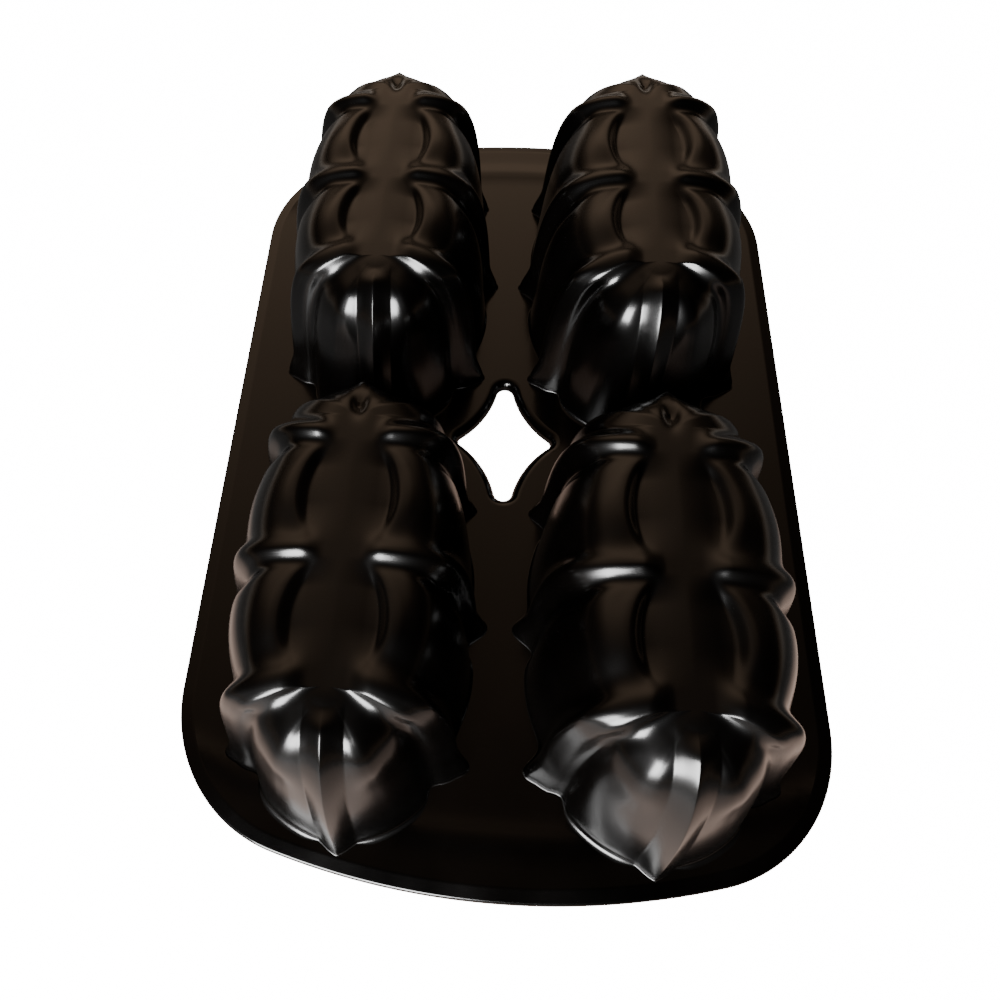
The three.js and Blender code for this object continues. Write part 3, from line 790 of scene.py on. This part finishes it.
near = add_range(tree, add_vector_math(tree, "LENGTH", oval.outputs["Vector"]), *FRONT_EDGE, 1.0, 0.0)
far = add_range(tree, add_vector_math(tree, "LENGTH", on_floor), *FAR_EDGE, 0.0, 1.0)
far = add_math(tree, "MULTIPLY", far, add_range(tree, floor_axes.outputs["Y"], *FAR_SIDE, 0.0, 1.0))
front_glow = add_vector_math(tree, "SCALE", FRONT_GLOW, near)
far_glow = add_vector_math(tree, "SCALE", FAR_GLOW, far)
seen = tree.nodes.new("ShaderNodeMix")
seen.data_type = "RGBA"
tree.links.new(tree.nodes.new("ShaderNodeLightPath").outputs["Is Camera Ray"], seen.inputs["Factor"])
tree.links.new(add_vector_math(tree, "ADD", front_glow, far_glow), seen.inputs["A"])
seen.inputs["B"].default_value = (WHITE, WHITE, WHITE, 1)
tree.links.new(seen.outputs["Result"], surface.inputs["Emission Color"])
print(f"floor with {len(tree.nodes)} nodes")

# %% Lamp
LAMP_PLACE, LAMP_TARGET = Vector((-0.32, -0.91, 0.62)), Vector((0, 0, 0.03))
LAMP_WIDTH, LAMP_HEIGHT, LAMP_POWER = 0.56, 0.6, 130.0
lamp_data = bpy.data.lights.new("front_lamp", "AREA")
lamp_data.shape = "RECTANGLE"
lamp_data.size, lamp_data.size_y, lamp_data.energy = LAMP_WIDTH, LAMP_HEIGHT, LAMP_POWER
lamp = bpy.data.objects.new("front_lamp", lamp_data)
lamp.location = LAMP_PLACE
lamp.rotation_euler = (LAMP_TARGET - LAMP_PLACE).to_track_quat("-Z", "Y").to_euler()
bpy.context.scene.collection.objects.link(lamp)
print(f"lamp {(LAMP_TARGET - LAMP_PLACE).length:.2f} m away")

# %% Sky
SKY_PEAK, SKY_REACH, SKY_GAIN, SKY_POWER = Vector((-0.2, 0.97, 0.142)).normalized(), 1.71, 2.1, 2.0
SKY_RISE, SKY_SHIFT, SKY_SIDES, SKY_NARROWING = (0.22, 0.6), 0.15, (0.42, 0.68), (1.05, 0.3)
SKY_COLOUR, HORIZON_GLOW, HORIZON_TOP = (1.0, 0.7, 0.48, 1), 0.7, 0.2
world = bpy.data.worlds.new("studio")
bpy.context.scene.world = world
world.use_nodes = True
sky = world.node_tree
look = sky.nodes.new("ShaderNodeTexCoord").outputs["Generated"]
sky_axes = sky.nodes.new("ShaderNodeSeparateXYZ")
sky.links.new(look, sky_axes.inputs["Vector"])
away = add_math(sky, "ARCCOSINE", add_vector_math(sky, "DOT_PRODUCT", look, SKY_PEAK))
shine = add_math(sky, "POWER", add_range(sky, away, 0.0, SKY_REACH, SKY_GAIN, 0.0), SKY_POWER)
above = add_range(sky, sky_axes.outputs["Z"], *SKY_RISE, 0.0, 1.0)
aside = add_math(sky, "ABSOLUTE", add_math(sky, "ADD", sky_axes.outputs["X"], SKY_SHIFT))
narrow = add_range(sky, aside, *SKY_SIDES, *SKY_NARROWING)
dome = add_math(sky, "MULTIPLY", add_math(sky, "MULTIPLY", shine, above), narrow)
horizon = add_range(sky, sky_axes.outputs["Z"], 0.0, HORIZON_TOP, HORIZON_GLOW, 0.0)
glow = sky.nodes["Background"]
glow.inputs["Color"].default_value = SKY_COLOUR
sky.links.new(add_math(sky, "MAXIMUM", dome, horizon), glow.inputs["Strength"])
print(f"sky with {len(sky.nodes)} nodes")

# %% White backdrop for the camera
backdrop = sky.nodes.new("ShaderNodeBackground")
backdrop.inputs["Color"].default_value = (1.0, 1.0, 1.0, 1)
backdrop.inputs["Strength"].default_value = WHITE
shown = sky.nodes.new("ShaderNodeMixShader")
sky.links.new(sky.nodes.new("ShaderNodeLightPath").outputs["Is Camera Ray"], shown.inputs[0])
sky.links.new(glow.outputs["Background"], shown.inputs[1])
sky.links.new(backdrop.outputs["Background"], shown.inputs[2])
sky.links.new(shown.outputs["Shader"], sky.nodes["World Output"].inputs["Surface"])

# %% [markdown]
# ## Camera
# The camera was found by fitting the pan's outline and the repeated features of the four cavities. The
# photograph is an off-centre crop, so the lens is shifted to match.

# %% Camera
PITCH, YAW, ROLL = np.radians([62.46, 9.88, 6.18])
CAMERA_PLACE, LENS, SENSOR, SHIFT = (-0.01248, -0.16534, 0.28872), 30.6, 36, (0.0981, -0.0182)
right = np.array([np.cos(YAW), np.sin(YAW), 0])
ahead = np.array([-np.sin(YAW) * np.cos(PITCH), np.cos(YAW) * np.cos(PITCH), -np.sin(PITCH)])
down = np.cross(ahead, right)
tilted_right = np.cos(ROLL) * right + np.sin(ROLL) * down
tilted_down = -np.sin(ROLL) * right + np.cos(ROLL) * down
camera_data = bpy.data.cameras.new("camera")
camera_data.sensor_width, camera_data.lens = SENSOR, LENS
camera_data.shift_x, camera_data.shift_y = SHIFT
camera = bpy.data.objects.new("camera", camera_data)
turn = Matrix(np.column_stack([tilted_right, -tilted_down, -ahead]).tolist()).to_4x4()
camera.matrix_world = Matrix.Translation(CAMERA_PLACE) @ turn
bpy.context.scene.collection.objects.link(camera)
bpy.context.scene.camera = camera
print(f"camera {Vector(CAMERA_PLACE).length:.2f} m from the middle of the pan")
